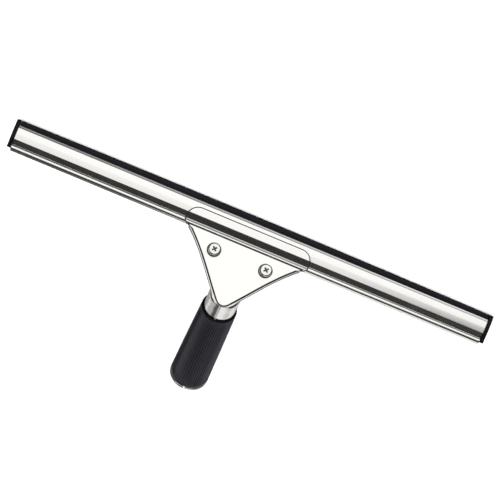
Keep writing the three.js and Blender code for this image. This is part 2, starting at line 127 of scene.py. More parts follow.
# Camera and stage
CAMERA_ROLL = math.radians(22.54)
CAMERA_YAW = math.radians(-2)
CAMERA_DISTANCE = 1.5
VIEW_WIDTH = 0.3886
AIM = (4.5, 0.1, 0)


def camera():
    data = bpy.data.cameras.new("camera")
    data.sensor_width = 36
    data.lens = 36 * CAMERA_DISTANCE / VIEW_WIDTH
    data.clip_end = 20
    obj = bpy.data.objects.new("camera", data)
    bpy.context.scene.collection.objects.link(obj)
    back = TO_VIEWER * math.cos(CAMERA_YAW) + TO_RIGHT * math.sin(CAMERA_YAW)
    level = TO_EDGE.cross(back)
    right = level * math.cos(CAMERA_ROLL) + TO_EDGE * math.sin(CAMERA_ROLL)
    up = TO_EDGE * math.cos(CAMERA_ROLL) - level * math.sin(CAMERA_ROLL)
    place = Matrix((right, up, back)).transposed().to_4x4()
    aim = BLADE @ (Vector(AIM) * MM)
    place.translation = aim + back * CAMERA_DISTANCE
    obj.matrix_world = place
    bpy.context.scene.camera = obj


camera()


def nodes_of(material):
    material.use_nodes = True
    tree = material.node_tree
    shader = next(n for n in tree.nodes if n.type == "BSDF_PRINCIPLED")
    return tree, shader


def floor():
    bpy.ops.mesh.primitive_plane_add(size=6, location=(0, 0, 0))
    plane = bpy.context.object
    plane.name = "floor"
    material = bpy.data.materials.new("floor_white")
    shader = nodes_of(material)[1]
    shader.inputs["Base Color"].default_value = (0.93, 0.93, 0.93, 1)
    shader.inputs["Roughness"].default_value = 0.9
    shader.inputs["Specular IOR Level"].default_value = 0.1
    plane.data.materials.append(material)


def area_light(name, direction, distance, size, power):
    data = bpy.data.lights.new(name, "AREA")
    data.shape = "RECTANGLE"
    data.size, data.size_y = size
    data.energy = power
    obj = bpy.data.objects.new(name, data)
    bpy.context.scene.collection.objects.link(obj)
    direction = Vector(direction).normalized()
    obj.location = direction * distance
    obj.rotation_euler = direction.to_track_quat("Z", "X").to_euler()
    return obj


def sweep(angle):
    """A direction in the Y-Z plane, as degrees from the horizon at +Y over the top."""
    a = math.radians(angle)
    return Vector((0, math.cos(a), math.sin(a)))


def ramp(value, stops):
    """Piecewise linear: stops are (place, level) in rising order."""
    if value <= stops[0][0]:
        return stops[0][1]
    for (a, low), (b, high) in zip(stops, stops[1:]):
        if value <= b:
            return low + (high - low) * (value - a) / (b - a)
    return stops[-1][1]


HORIZON_GREY = [(-0.31, 0.2), (-0.14, 0.3), (0.0, 0.5), (0.1, 0.65), (0.28, 1.0)]
FRONT_GREY = [(-0.62, 0.55), (-0.44, 0.08), (-0.12, 0.12), (0.02, 1.0), (0.5, 1.05), (1.2, 0.6)]
OVERHEAD_DARK = 0.035
SOFTBOX = 1.25
TENT_END = [(0, 0.04), (66, 0.04), (108, 0.12), (126, 0.6), (180, 0.6)]
SOFTBOX_HALF = 0.62
RIGHT_FALL = [(0.19, 1.0), (0.28, 0.42), (0.35, 0.17), (0.40, 0.12)]
TENT_RADIUS = 1.3
TENT_HALF = 1.7


def tent_level(angle, x):
    """Brightness of the studio tent: grey horizon, a long softbox, a dark roof, a light front."""
    horizon, front = ramp(x, HORIZON_GREY), ramp(x, FRONT_GREY)
    ends = ramp(abs(x), [(SOFTBOX_HALF, 1), (SOFTBOX_HALF + 0.08, 0.05)])
    lower = SOFTBOX * ends
    upper = 0.95 * ramp(x, RIGHT_FALL) * ends
    return ramp(angle, [
        (0, 0.04), (6, horizon), (12, horizon), (16, lower), (46, lower), (52, upper),
        (60, upper), (66, OVERHEAD_DARK), (110, OVERHEAD_DARK), (118, front), (180, front),
    ])


def glossy_card(name, verts, faces, levels):
    """A glowing sheet seen only in reflections; levels holds one brightness per point."""
    mesh = bpy.data.meshes.new(name)
    mesh.from_pydata(verts, [], faces)
    glow = mesh.attributes.new("level", "FLOAT", "POINT")
    glow.data.foreach_set("value", levels)
    card = bpy.data.objects.new(name, mesh)
    bpy.context.scene.collection.objects.link(card)
    material = bpy.data.materials.new(name)
    material.use_nodes = True
    tree = material.node_tree
    tree.nodes.clear()
    level = tree.nodes.new("ShaderNodeAttribute")
    level.attribute_name = "level"
    emission = tree.nodes.new("ShaderNodeEmission")
    output = tree.nodes.new("ShaderNodeOutputMaterial")
    tree.links.new(level.outputs["Fac"], emission.inputs["Strength"])
    tree.links.new(emission.outputs["Emission"], output.inputs["Surface"])
    mesh.materials.append(material)
    card.visible_camera = False
    card.visible_diffuse = False
    card.visible_shadow = False


def tent():
    across, around = 80, 120
    verts, levels, faces = [], [], []
    for i in range(around + 1):
        angle = 180 * i / around
        way = sweep(angle) * TENT_RADIUS
        for j in range(across + 1):
            x = TENT_HALF * (2 * j / across - 1)
            verts.append((x, way.y, way.z + 0.002))
            levels.append(tent_level(angle, x))
    for i in range(around):
        for j in range(across):
            a = i * (across + 1) + j
            faces.append((a, a + 1, a + across + 2, a + across + 1))
    glossy_card("studio_tent", verts, faces, levels)
    verts, levels, faces = [], [], []
    for i in range(across + 1):
        y = TENT_RADIUS * (1 - 2 * i / across)
        for j in range(across + 1):
            x = TENT_HALF * (2 * j / across - 1)
            verts.append((x, y, 0.001))
            levels.append(ramp(-y, [(-0.02, 0.04), (0.05, ramp(x, FRONT_GREY)), (0.12, 0.9)]))
    for i in range(across):
        for j in range(across):
            a = i * (across + 1) + j
            faces.append((a, a + 1, a + across + 2, a + across + 1))
    glossy_card("studio_tent_floor", verts, faces, levels)
    for side, name in ((-1, "left"), (1, "right")):
        rings = 12
        verts, levels, faces = [], [], []
        for i in range(around + 1):
            angle = 180 * i / around
            for j in range(rings + 1):
                way = sweep(angle) * TENT_RADIUS * j / rings
                verts.append((side * TENT_HALF, way.y, way.z + 0.002))
                levels.append(ramp(angle, TENT_END))
        for i in range(around):
            for j in range(rings):
                a = i * (rings + 1) + j
                faces.append((a, a + 1, a + rings + 2, a + rings + 1))
        glossy_card("studio_tent_" + name, verts, faces, levels)


def lighting():
    scene = bpy.context.scene
    world = bpy.data.worlds.new("studio")
    scene.world = world
    world.use_nodes = True
    background = world.node_tree.nodes["Background"]
    background.inputs["Color"].default_value = (1, 1, 1, 1)
    background.inputs["Strength"].default_value = 2.0
    area_light("key", sweep(38), 1.6, (2.4, 0.9), 9)
    tent()
    scene.view_settings.view_transform = "Standard"


floor()
lighting()


# Materials
def add(tree, kind, **settings):
    node = tree.nodes.new(kind)
    for key, value in settings.items():
        if key in node.inputs:
            node.inputs[key].default_value = value
        else:
            setattr(node, key, value)
    return node


def texture_space(tree, scale, vector_type="Object"):
    """Texture coordinates stretched so that the pattern runs along the longest direction."""
    coordinates = add(tree, "ShaderNodeTexCoord")
    mapping = add(tree, "ShaderNodeMapping")
    mapping.inputs["Scale"].default_value = scale
    tree.links.new(coordinates.outputs[vector_type], mapping.inputs["Vector"])
    return mapping.outputs["Vector"]


def steel(name, grain_scale, colour=(0.80, 0.79, 0.765), rough=(0.13, 0.24), bump=0.03):
    """Polished stainless steel with a fine grain along one direction and faint smudges."""
    material = bpy.data.materials.new(name)
    tree, shader = nodes_of(material)
    grain = add(tree, "ShaderNodeTexNoise")
    grain.inputs["Scale"].default_value = 1
    grain.inputs["Detail"].default_value = 6
    tree.links.new(texture_space(tree, grain_scale), grain.inputs["Vector"])
    smudge = add(tree, "ShaderNodeTexNoise")
    smudge.inputs["Scale"].default_value = 45
    smudge.inputs["Detail"].default_value = 3
    tree.links.new(texture_space(tree, (1, 1, 1)), smudge.inputs["Vector"])
    mixed = add(tree, "ShaderNodeMath", operation="ADD")
    tree.links.new(grain.outputs["Fac"], mixed.inputs[0])
    tree.links.new(smudge.outputs["Fac"], mixed.inputs[1])
    spread = add(tree, "ShaderNodeMapRange")
    spread.inputs["From Min"].default_value = 0.6
    spread.inputs["From Max"].default_value = 1.4
    spread.inputs["To Min"].default_value = rough[0]
    spread.inputs["To Max"].default_value = rough[1]
    tree.links.new(mixed.outputs[0], spread.inputs["Value"])
    tree.links.new(spread.outputs["Result"], shader.inputs["Roughness"])
    tint = add(tree, "ShaderNodeMix", data_type="RGBA")
    tint.inputs[6].default_value = (*[c * 0.93 for c in colour], 1)
    tint.inputs[7].default_value = (*colour, 1)
    tree.links.new(grain.outputs["Fac"], tint.inputs[0])
    tree.links.new(tint.outputs[2], shader.inputs["Base Color"])
    relief = add(tree, "ShaderNodeBump")
    relief.inputs["Strength"].default_value = bump
    relief.inputs["Distance"].default_value = 0.0002
    tree.links.new(grain.outputs["Fac"], relief.inputs["Height"])
    tree.links.new(relief.outputs["Normal"], shader.inputs["Normal"])
    shader.inputs["Metallic"].default_value = 1
    return material


def soft_black(name, colour, rough, grain_scale, bump, shine, fleck=0.3):
    """Rubber or moulded plastic: near-black, with a fine grain and uneven dullness."""
    material = bpy.data.materials.new(name)
    tree, shader = nodes_of(material)
    shader.inputs["Specular IOR Level"].default_value = shine
    grain = add(tree, "ShaderNodeTexNoise")
    grain.inputs["Scale"].default_value = grain_scale
    grain.inputs["Detail"].default_value = 5
    tree.links.new(texture_space(tree, (1, 1, 1)), grain.inputs["Vector"])
    dull = add(tree, "ShaderNodeTexNoise")
    dull.inputs["Scale"].default_value = 60
    tree.links.new(texture_space(tree, (1, 1, 1)), dull.inputs["Vector"])
    tint = add(tree, "ShaderNodeMix", data_type="RGBA")
    tint.inputs[6].default_value = (*[c * (1 - fleck) for c in colour], 1)
    tint.inputs[7].default_value = (*[c * (1 + fleck) for c in colour], 1)
    tree.links.new(dull.outputs["Fac"], tint.inputs[0])
    tree.links.new(tint.outputs[2], shader.inputs["Base Color"])
    spread = add(tree, "ShaderNodeMapRange")
    spread.inputs["To Min"].default_value = rough - 0.08
    spread.inputs["To Max"].default_value = rough + 0.08
    tree.links.new(dull.outputs["Fac"], spread.inputs["Value"])
    tree.links.new(spread.outputs["Result"], shader.inputs["Roughness"])
    relief = add(tree, "ShaderNodeBump")
    relief.inputs["Strength"].default_value = bump
    relief.inputs["Distance"].default_value = 0.0001
    tree.links.new(grain.outputs["Fac"], relief.inputs["Height"])
    tree.links.new(relief.outputs["Normal"], shader.inputs["Normal"])
    return material


CHANNEL_STEEL = steel("channel_steel", (14, 2600, 2600))
HANDLE_STEEL = steel("handle_steel", (900, 900, 900), rough=(0.12, 0.2), bump=0.015)
SCREW_STEEL = steel("screw_steel", (1500, 1500, 1500), (0.74, 0.74, 0.73), (0.10, 0.18), 0.02)
BLADE_RUBBER = soft_black("blade_rubber", (0.004, 0.004, 0.007), 0.5, 1800, 0.15, 0.1)
GRIP_RUBBER = soft_black("grip_rubber", (0.003, 0.003, 0.008), 0.3, 2200, 0.05, 0.36)
CAP_PLASTIC = soft_black("cap_plastic", (0.002, 0.002, 0.0025), 0.42, 1500, 0.1, 0.12)
RIM_RUBBER = soft_black("rim_rubber", (0.002, 0.002, 0.003), 0.5, 2200, 0.1, 0.1)
# dark steel for the washers, also used as painted shade on the plate's rim and in the screw recesses
DARK_STEEL_AND_PAINTED_SHADE = steel("dark_steel_and_painted_shade", (1500, 1500, 1500), (0.10, 0.095, 0.085), (0.3, 0.42), 0.03)


# Mesh helpers
MERGE_DISTANCE = 1e-7


def closed_object(name, verts, faces, place):
    """A closed mesh from points in millimetres of one working frame."""
    mesh = bpy.data.meshes.new(name)
    mesh.from_pydata([place @ (Vector(v) * MM) for v in verts], [], faces)
    build = bmesh.new()
    build.from_mesh(mesh)
    bmesh.ops.remove_doubles(build, verts=build.verts, dist=MERGE_DISTANCE)
    bmesh.ops.recalc_face_normals(build, faces=build.faces)
    build.to_mesh(mesh)
    build.free()
    obj = bpy.data.objects.new(name, mesh)
    bpy.context.scene.collection.objects.link(obj)
    return obj


def new_piece(name, verts, faces, place, material, body, nodes, smooth=32):
    """A visible piece that rides a body and replaces one or more CAD nodes."""
    obj = closed_object(name, verts, faces, place)
    obj.data.materials.append(material)
    shade(obj, smooth)
    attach(obj, body)
    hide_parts(*nodes)
    return obj


def shade(obj, smooth=32):
    obj.data.shade_smooth()
    obj.data.set_sharp_from_angle(angle=math.radians(smooth))


def apply_modifiers(obj, smooth=32):
    depsgraph = bpy.context.evaluated_depsgraph_get()
    mesh = bpy.data.meshes.new_from_object(obj.evaluated_get(depsgraph))
    obj.modifiers.clear()
    obj.data = mesh
    shade(obj, smooth)


def cut(obj, cutter, operation="DIFFERENCE", smooth=32):
    """Cuts the cutter out of obj, or joins it on with UNION, and removes the cutter."""
    modifier = obj.modifiers.new("cut", "BOOLEAN")
    modifier.operation = operation
    modifier.object = cutter
    modifier.solver = "EXACT"
    apply_modifiers(obj, smooth)
    bpy.data.objects.remove(cutter)


def scratch(verts, faces, place):
    """A temporary solid that a cut or join uses up."""
    return closed_object("scratch", verts, faces, place)


def fillet(points, radius, steps=4):
    """A closed outline with each corner rounded; radius may be a function of the corner's index."""
    result = []
    count = len(points)
    for i in range(count):
        before, here, after = (Vector(points[(i + k) % count]) for k in (-1, 0, 1))
        a, b = before - here, after - here
        r = radius(i) if callable(radius) else radius
        turn = a.angle(b)
        if r <= 0 or turn > math.radians(172):
            result.append(tuple(here))
            continue
        reach = min(r / math.tan(turn / 2), 0.45 * a.length, 0.45 * b.length)
        start, end = here + a.normalized() * reach, here + b.normalized() * reach
        for k in range(steps + 1):
            t = k / steps
            result.append(tuple(start * (1 - t) ** 2 + here * 2 * t * (1 - t) + end * t ** 2))
    return result


def prism(outline, stations):
    """An outline (v, w) carried along X; stations are (x, inset) with the inset towards its middle."""
    centre = Vector((sum(p[0] for p in outline), sum(p[1] for p in outline))) / len(outline)
    verts, faces = [], []
    count = len(outline)
    for x, inset in stations:
        for p in outline:
            offset = centre - Vector(p)
            q = Vector(p) + offset.normalized() * inset if inset else Vector(p)
            verts.append((x, q.x, q.y))
    for s in range(len(stations) - 1):
        for i in range(count):
            a, b = s * count + i, s * count + (i + 1) % count
            faces.append((a, b, b + count, a + count))
    faces.append(tuple(range(count)))
    last = (len(stations) - 1) * count
    faces.append(tuple(range(last + count - 1, last - 1, -1)))
    return verts, faces


def lathe(profile, segments):
    """A closed or on-axis profile (radius, z) turned about Z."""
    verts, faces = [], []
    count = len(profile)
    for s in range(segments):
        a = 2 * math.pi * s / segments
        verts += [(r * math.cos(a), r * math.sin(a), z) for r, z in profile]
    closed = profile[0][0] > 0 or profile[-1][0] > 0
    pairs = count if closed else count - 1
    for s in range(segments):
        t = (s + 1) % segments
        for i in range(pairs):
            j = (i + 1) % count
            faces.append((s * count + i, t * count + i, t * count + j, s * count + j))
    return verts, faces


def smooth_profile(points, corners, steps=4):
    """An open profile whose inner corners are rounded; corners maps an index to a radius."""
    result = []
    for i, p in enumerate(points):
        radius = corners.get(i, 0)
        if radius <= 0 or i in (0, len(points) - 1):
            result.append(tuple(p))
            continue
        before, here, after = Vector(points[i - 1]), Vector(p), Vector(points[i + 1])
        a, b = before - here, after - here
        reach = min(radius / math.tan(a.angle(b) / 2), 0.45 * a.length, 0.45 * b.length)
        start, end = here + a.normalized() * reach, here + b.normalized() * reach
        for k in range(steps + 1):
            t = k / steps
            result.append(tuple(start * (1 - t) ** 2 + here * 2 * t * (1 - t) + end * t ** 2))
    return result


# Channel, rubber, clips and caps
def spine_arc(radius, steps):
    points = []
    for i in range(steps + 1):
        a = WAIST_ANGLE + (math.pi - WAIST_ANGLE) * i / steps
        points.append((SPINE_RADIUS + radius * math.cos(a), radius * math.sin(a)))
    return points


FACE_BOW = (14.2, 3.83)  # the channel's flank is very slightly crowned


def channel():
    outside = CHANNEL_SIDE[:2] + [FACE_BOW] + CHANNEL_SIDE[2:] + spine_arc(SPINE_RADIUS, 26)
    outside = smooth_profile(outside, {1: 1.6, 2: 30, 3: 1.1, 4: 1.2}, 6)
    inside = [(v, w - CHANNEL_WALL) for v, w in CHANNEL_SIDE]
    inside += spine_arc(SPINE_RADIUS - CHANNEL_WALL, 20)
    inside = smooth_profile(inside, {1: 1.0, 2: 1.0, 3: 0.6}, 4)
    lip_v, lip_out = outside[0]
    lip_mid = lip_out - CHANNEL_WALL / 2
    rolled = []
    for k in range(1, 8):
        a = math.pi * k / 8
        rolled.append((
            lip_v - 0.45 + 0.45 * math.sin(a),
            lip_mid + CHANNEL_WALL / 2 * math.cos(math.pi - a),
        ))
    outside[0] = (lip_v - 0.45, lip_out)
    inside[0] = (lip_v - 0.45, lip_out - CHANNEL_WALL)
    front = outside[:-1]
    back = [(v, -w) for v, w in reversed(front)]
    inner_front = inside[:-1]
    inner_back = [(v, -w) for v, w in reversed(inner_front)]
    loop = front + [(0, 0)] + back
    loop += [(v, -w) for v, w in reversed(rolled)]
    loop += list(reversed(inner_back)) + [inside[-1]] + list(reversed(inner_front))
    loop += rolled
    end = LENGTH / 2 - CAP_THICKNESS - GAP
    stations = [(-end + 2 * end * i / 24, 0) for i in range(25)]
    verts, faces = prism(loop, stations)
    return new_piece(
        "channel_steel_profile", verts, faces, BLADE, CHANNEL_STEEL, "blade",
        ["channel"], 40,
    )


END_DROP = 1.1  # the working edge is drawn down this far at its ends


def wiper_rubber():
    """The web, lips and square-cut working edge, with a shallow moulded groove along each face."""
    top = BLADE_TIP - 0.05
    half = [
        (CHANNEL_HEIGHT - 9.6, 1.0), (CHANNEL_HEIGHT - 9.6, 2.4), (14.2, 2.4), (15.2, BLADE_HALF),
        (CHANNEL_HEIGHT + 0.9, BLADE_HALF), (CHANNEL_HEIGHT + 1.15, BLADE_HALF - 0.2),
        (CHANNEL_HEIGHT + 1.45, BLADE_HALF - 0.2), (CHANNEL_HEIGHT + 1.7, BLADE_HALF),
        (top - 1.2, BLADE_HALF), (top - 0.9, BLADE_HALF - 0.12), (top - 0.12, BLADE_HALF - 0.16),
        (top, BLADE_HALF - 0.3),
    ]
    loop = half + [(v, -w) for v, w in reversed(half)]
    end = LENGTH / 2 - CAP_THICKNESS - 2 * GAP
    verts, faces = [], []
    count, steps = len(loop), 60
    for s in range(steps + 1):
        x = -end + 2 * end * s / steps
        drop = END_DROP * (x / end) ** 2
        for v, w in loop:
            share = max(0, (v - CHANNEL_HEIGHT) / (top - CHANNEL_HEIGHT))
            verts.append((x, v - drop * share, w))
    for s in range(steps):
        for i in range(count):
            a, b = s * count + i, s * count + (i + 1) % count
            faces.append((a, b, b + count, a + count))
    faces.append(tuple(range(count)))
    faces.append(tuple(range(steps * count + count - 1, steps * count - 1, -1)))
    return new_piece(
        "rubber_blade", verts, faces, BLADE, BLADE_RUBBER, "blade",
        ["wiper_rubber"], 30,
    )


CAP_SIDE = [(2, 3.6), (3, 4.2), (5.2, 4.2), (9.6, 5.2), (18.8, 4.9), (24.2, 3.5), (25, 2.9)]
CAP_ROUND = 0.4
TONGUE_LOW = 1.8
TONGUE_HIGH = 9.2
TONGUE_HALF = 1.1


def end_cap(side, name):
    loop = fillet(CAP_SIDE + [(v, -w) for v, w in reversed(CAP_SIDE)], 0.35, 3)
    outer, inner = LENGTH / 2, LENGTH / 2 - CAP_THICKNESS
    stations = [(inner, 0.12), (inner + 0.2, 0), (outer - CAP_ROUND, 0)]
    stations += [(outer - CAP_ROUND + CAP_ROUND * math.sin(a), CAP_ROUND * (1 - math.cos(a)))
                 for a in (0.4, 0.8, 1.2, math.pi / 2)]
    stations = [(side * x, inset) for x, inset in stations]
    verts, faces = prism(loop, stations)
    tongue = fillet([
        (TONGUE_LOW, -TONGUE_HALF), (TONGUE_HIGH, -TONGUE_HALF),
        (TONGUE_HIGH, TONGUE_HALF), (TONGUE_LOW, TONGUE_HALF),
    ], 0.4, 3)
    tongue_stations = [(inner + 0.5, 0), (inner - 11, 0), (inner - 11.9, 0.4)]
    more_verts, more_faces = prism(tongue, [(side * x, inset) for x, inset in tongue_stations])
    obj = new_piece(
        "end_cap_" + name + "_moulding", verts, faces, BLADE, CAP_PLASTIC, "cap_" + name,
        ["end_cap_" + name], 40,
    )
    cut(obj, scratch(more_verts, more_faces, BLADE), "UNION", 40)
    return obj


channel()
wiper_rubber()
for side, name in ((-1, "left"), (1, "right")):
    end_cap(side, name)


# Clamp plate
def jaw_inside(v):
    """Distance of a jaw's inside from the middle plane, at a height above the spine."""
    waist_v = SPINE_RADIUS + SPINE_RADIUS * math.cos(WAIST_ANGLE)
    waist_w = SPINE_RADIUS * math.sin(WAIST_ANGLE)
    (top_v, top_w), (lip_v, lip_w), (shoulder_v, shoulder_w) = CHANNEL_SIDE
    if v <= SPINE_RADIUS:
        return SPINE_RADIUS + GAP
    if v < waist_v:
        return GAP + math.sqrt(SPINE_RADIUS ** 2 - (v - SPINE_RADIUS) ** 2)
    for (a, wa), (b, wb) in (
        ((waist_v, waist_w), (shoulder_v, shoulder_w)),
        ((shoulder_v, shoulder_w), (lip_v, lip_w)),
        ((lip_v, lip_w), (top_v, top_w)),
    ):
        if v <= b:
            return GAP + wa + (wb - wa) * (v - a) / (b - a)
    return GAP + top_w


def bezier(points, t):
    """A point on a Bezier curve of any degree."""
    level = [Vector(p) for p in points]
    while len(level) > 1:
        level = [a.lerp(b, t) for a, b in zip(level, level[1:])]
    return level[0]


PLATE_TIP = -48.4
TIP_RADIUS = 7.5
PLATE_ROOT = 44.6
FAN_EDGE = [
    (PLATE_ROOT, JAW_FOOT), (29, -15), (19.5, -29),
    (TIP_RADIUS * 0.86, PLATE_TIP + TIP_RADIUS * 0.55),
]
FRONT_BEND = [
    (CROTCH + PLATE_REACH, plate_level(CROTCH + PLATE_REACH)),
    (CROTCH, plate_level(CROTCH)),
    tuple(on_blade(Vector((-TUBE_RADIUS, CROTCH_POINT.y - BEND_REACH)))),
]


def fan_half(v):
    """Half the fan's width at a height on the plate."""
    last = FAN_EDGE[-1]
    if v <= last[1]:
        curve = [last, (last[0] * 0.55, PLATE_TIP), (0, PLATE_TIP)]
    else:
        curve = FAN_EDGE
    low, high = 0.0, 1.0
    for _ in range(40):
        middle = (low + high) / 2
        if bezier(curve, middle).y > v:
            low = middle
        else:
            high = middle
    return bezier(curve, low).x


def front_level(v):
    """Outside of the clamp plate below the channel."""
    if v >= FRONT_BEND[0][0]:
        return plate_level(v)
    low, high = 0.0, 1.0
    for _ in range(40):
        middle = (low + high) / 2
        if bezier(FRONT_BEND, middle).x > v:
            low = middle
        else:
            high = middle
    return bezier(FRONT_BEND, low).y


def jaw_half(v, foot):
    """Half the width of a jaw: round top corners, and a foot that draws in."""
    corner_v = JAW_TOP - JAW_CORNER
    if v > corner_v:
        rise = min(v - corner_v, JAW_CORNER)
        return JAW_HALF - JAW_CORNER + math.sqrt(JAW_CORNER ** 2 - rise ** 2)
    if v >= 3.4:
        return JAW_HALF
    share = (3.4 - v) / (3.4 - foot[1])
    return JAW_HALF - (JAW_HALF - foot[0]) * share ** 1.6


EDGE_PLACES = [0, 0.06, 0.2, 0.42, 0.7, 1.0]


def outline_distance(x, v, outline):
    """Shortest distance from a point to the sheet's outline."""
    best = 1e9
    here = Vector((x, v))
    for a, b in zip(outline, outline[1:]):
        along = b - a
        share = max(0, min(1, (here - a).dot(along) / max(along.length_squared, 1e-9)))
        best = min(best, (here - a - along * share).length)
    return best


THINNEST = 0.1


def sheet_grid(rows, across, thickness, edge=0.0):
    """A closed sheet from rows of (v, half width, level) with its outer rim rounded by edge.

    The inside never comes nearer to the channel than the jaw's inside does."""
    columns = [math.sin(math.pi / 2 * (2 * i / across - 1)) for i in range(1, across)]
    right = [Vector((half, v)) for v, half, level in rows]
    outline = [Vector((-p.x, p.y)) for p in reversed(right)] + right
    outline.append(outline[0])
    verts, faces = [], []
    for inner in (0, thickness):
        for v, half, level in rows:
            reach = min(1, half / 2.2)
            low = half - reach * EDGE_PLACES[-1] * 1.25
            xs = [-half + reach * p for p in EDGE_PLACES] + [c * low for c in columns]
            xs += [half - reach * p for p in reversed(EDGE_PLACES)]
            for x in xs:
                under = max(level(x) - thickness, jaw_inside(v))
                drop = 0.0
                if not inner and edge:
                    inward = edge - min(edge, outline_distance(x, v, outline))
                    drop = edge - math.sqrt(edge * edge - inward * inward)
                verts.append((x, v, under if inner else max(level(x) - drop, under + THINNEST)))
    width = len(columns) + 2 * len(EDGE_PLACES)
    across, total = width - 1, len(rows) * width
    for r in range(len(rows) - 1):
        for c in range(across):
            a = r * width + c
            faces.append((a, a + 1, a + 1 + width, a + width))
            faces.append((total + a + width, total + a + 1 + width, total + a + 1, total + a))
    for c in range(across):
        faces.append((c, total + c, total + c + 1, c + 1))
        a = (len(rows) - 1) * width + c
        faces.append((a, a + 1, total + a + 1, total + a))
    for r in range(len(rows) - 1):
        a, b = r * width, (r + 1) * width
        faces.append((a, b, total + b, total + a))
        a, b = a + across, b + across
        faces.append((b, a, total + a, total + b))
    return verts, faces


def jaw_heights():
    corner_v = JAW_TOP - JAW_CORNER
    arc = [corner_v + JAW_CORNER * math.sin(math.pi / 2 * i / 16) for i in range(16, 0, -1)]
    arc += [JAW_TOP - p for p in EDGE_PLACES] + [JAW_TOP - 0.02]
    waist = [10.2, 9.9, 9.6, 9.3, 9.0, 8.2, 7.2, 6.2, 5.6, 5.2, 4.9, 4.6, 4.3, 4.0, 3.7, 3.4, 3.0]
    return sorted(set(round(v, 3) for v in arc + waist), reverse=True)


JAW_CREASE = [
    (-0.9, 4.8), (0.9, 4.3), (1.4, 4.85), (2.0, 5.0), (2.7, 4.95), (3.4, 4.7), (4.0, 3.65),
    (4.4, 3.6), (9.6, 5.7),
]


def soft_jaw_level(v):
    """The jaw's outside: over the bead, into a sharp crease, up to the shoulder and on."""
    def level(at):
        if at < JAW_CREASE[0][0]:
            return front_level(at)
        return ramp(at, JAW_CREASE) if at < JAW_CREASE[-1][0] else jaw_inside(at) + SHEET
    samples = [level(v + offset) for offset in (-0.4, -0.2, 0, 0.2, 0.4)]
    return sum(samples) / len(samples)


def fold_level(v):
    """The plate's outside below the bead: a pressed fold, then the straight plate."""
    return soft_jaw_level(v) if v > JAW_FOOT - 0.5 else front_level(v)


# width in millimetres of the band of painted shade round the plate's rim
EDGE_SHADE_WIDTH = 0.6
RIM_ROUND = 1.2
PLATE_FOOT = (49, 0.2)
SCREW_HOLE = 2.75


def paint_edge_shade(obj, rows):
    """Paints shade round the plate's rim: faces near the outline get the dark steel, a painted dark
    outline.
    """
    obj.data.materials.append(DARK_STEEL_AND_PAINTED_SHADE)
    back = BLADE.inverted()
    right = [Vector((half, v)) for v, half, level in rows]
    outline = [Vector((-p.x, p.y)) for p in reversed(right)] + right
    outline.append(outline[0])
    for face in obj.data.polygons:
        centre = back @ face.center / MM
        if outline_distance(centre.x, centre.y, outline) < EDGE_SHADE_WIDTH:
            # painted shade: the rim's faces take the dark steel
            face.material_index = 1


def clamp_plate():
    """The front jaw and its fan-shaped plate in one pressed sheet."""
    rows = [(v, jaw_half(v, PLATE_FOOT), soft_jaw_level(v)) for v in jaw_heights()]
    for v in (2.5, 2.1, 1.7, 1.3, 0.9, 0.5, 0.2):
        rows.append((v, jaw_half(v, PLATE_FOOT), fold_level(v)))
    rows.append((-0.3, 47.4, fold_level(-0.3)))
    heights = [JAW_FOOT - 0.2 - i * 1.5 for i in range(0, 28)]
    heights = [v for v in heights if v > PLATE_TIP + 4.2]
    heights += [PLATE_TIP + 4 * (1 - math.sin(math.pi / 2 * i / 12)) for i in range(0, 12)]
    heights += [PLATE_TIP + 0.25, PLATE_TIP + 0.1, PLATE_TIP + 0.03]
    for v in heights:
        rows.append((v, max(fan_half(v), 0.4), fold_level(v)))
    rows = [(v, half, (lambda x, level=level: level)) for v, half, level in rows]
    verts, faces = sheet_grid(rows, 40, SHEET, RIM_ROUND)
    obj = new_piece(
        "clamp_plate_pressing", verts, faces, BLADE, HANDLE_STEEL, "clamp",
        ["clamp_plate"], 40,
    )
    for x in (-SCREW_X, SCREW_X):
        hole, sides = lathe([(0, -6), (SCREW_HOLE, -6), (SCREW_HOLE, 6), (0, 6)], 32)
        cut(obj, scratch(hole, sides, screw_place(x)), "DIFFERENCE", 40)
    paint_edge_shade(obj, rows)
    return obj


def screw_place(x):
    tilt = math.atan(PLATE_SLOPE)
    place = Matrix.Rotation(-tilt, 4, "X")
    place.translation = Vector((x, -SCREW_DOWN, plate_level(-SCREW_DOWN))) * MM
    return BLADE @ place


clamp_plate()


# Handle
SEAM_HALF = 0.3
EDGE_GAP = 0.55
FLANGE = 2.6
FLANGE_DROP = 0.2
TUBE_WALL = 1.4
HEM_WALL = 3.2
HEM_ROUND = 0.9
BEND_CORNER = 4.5
FOOT_CORNER = 2.5
REAR_JAW_ROOT = -6
REAR_ROOT_HALF = 38
REAR_FOOT = (46, JAW_FOOT)
NUT_CLEARANCE = 3.6
ARC_STEPS = 14
HEM_STEPS = 8
BEND_STEPS = 24
TRAY_STEPS = 26


def sheet_path(half, depth, opening, front_radius, back_radius, inset):
    right = [(opening, depth - inset)]
    w = half - inset
    arcs = (
        (max(front_radius - inset, 0.1), depth - inset, math.pi / 2, -1),
        (max(back_radius - inset, 0.1), inset, 0, 1),
    )
    for radius, level, start, inward in arcs:
        for i in range(ARC_STEPS + 1):
            a = start - i / ARC_STEPS * math.pi / 2
            right.append((
                w - radius + radius * math.cos(a),
                level + inward * radius + radius * math.sin(a),
            ))
    return right + [(0, inset)] + [(-x, y) for x, y in reversed(right)]


def sheet_ring(station):
    """One section of the bent sheet, from its outer path back along its inner path."""
    front, back, half, opening, back_radius, sheet = station
    depth = (front - back).length
    forward = (front - back).normalized()
    front_radius = min(half - opening - 0.1, depth / 2)
    lip_foot = on_blade(back + forward * (depth - sheet))
    inner_opening = max(opening, opening_at(lip_foot.x))
    outer = sheet_path(half, depth, opening, front_radius, back_radius, 0)
    inner_radius = min(half - inner_opening - 0.1, front_radius)
    inner = sheet_path(half, depth, inner_opening, inner_radius, back_radius, sheet)
    ring = []
    for x, d in outer + list(reversed(inner)):
        p = back + forward * d
        ring.append((x, p.x, p.y))
    return ring


